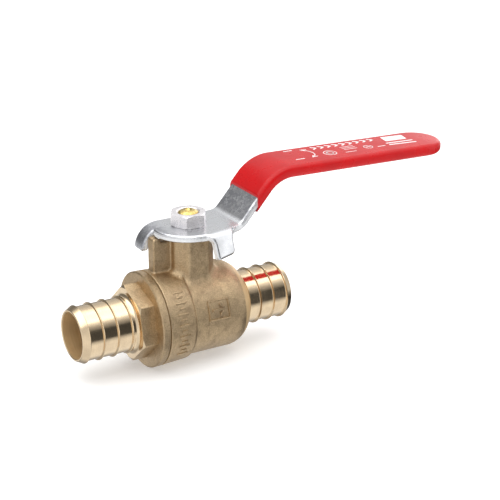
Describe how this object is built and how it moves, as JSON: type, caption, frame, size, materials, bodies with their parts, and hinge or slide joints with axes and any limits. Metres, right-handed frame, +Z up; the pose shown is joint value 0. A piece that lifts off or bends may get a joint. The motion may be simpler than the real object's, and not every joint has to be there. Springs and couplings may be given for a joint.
{
  "type": "water shutoff valve",
  "caption": "Quarter-turn brass ball valve with ribbed crimp barbs for water tube, a wrench hex, and a cranked steel lever in a red vinyl sleeve.",
  "frame": {"origin": "centre of the ball, where the pipe axis crosses the stem axis", "axes": "+X along the pipe from the end adapter to the outlet barb, +Z up the stem to the lever, +Y across"},
  "size_m": [0.132, 0.0298, 0.058],
  "materials": {
    "cast_brass": "sand-blasted forging",
    "turned_brass": "bright turned",
    "zinc_steel": "zinc plated",
    "red_vinyl": "dipped vinyl with white print",
    "ptfe": "waxy white"
  },
  "bodies": {
    "body": {"valve_body": "cast_brass", "end_adapter": "turned_brass", "inlet_seat": "ptfe", "outlet_seat": "ptfe", "body_seal_ring": "ptfe", "stem_thrust_washer": "ptfe", "stem_packing_lower": "ptfe", "stem_packing_upper": "ptfe", "packing_gland": "turned_brass"},
    "lever": {"lever_handle": "zinc_steel", "handle_sleeve": "red_vinyl", "handle_nut": "zinc_steel", "stem": "turned_brass"},
    "ball": {"ball": "turned_brass"}
  },
  "joints": [
    {"name": "lever_turn", "type": "hinge", "parent": "body", "child": "lever", "pos_m": [0, 0, 0.0265], "axis": [0, 0, 1], "range_deg": [-90, 0]},
    {"name": "ball_turn", "type": "hinge", "parent": "body", "child": "ball", "pos_m": [0, 0, 0], "axis": [0, 0, 1], "range_deg": [-90, 0]}
  ],
  "couplings": [
    {"joint": "ball_turn", "follows": "lever_turn", "ratio": 1}
  ]
}
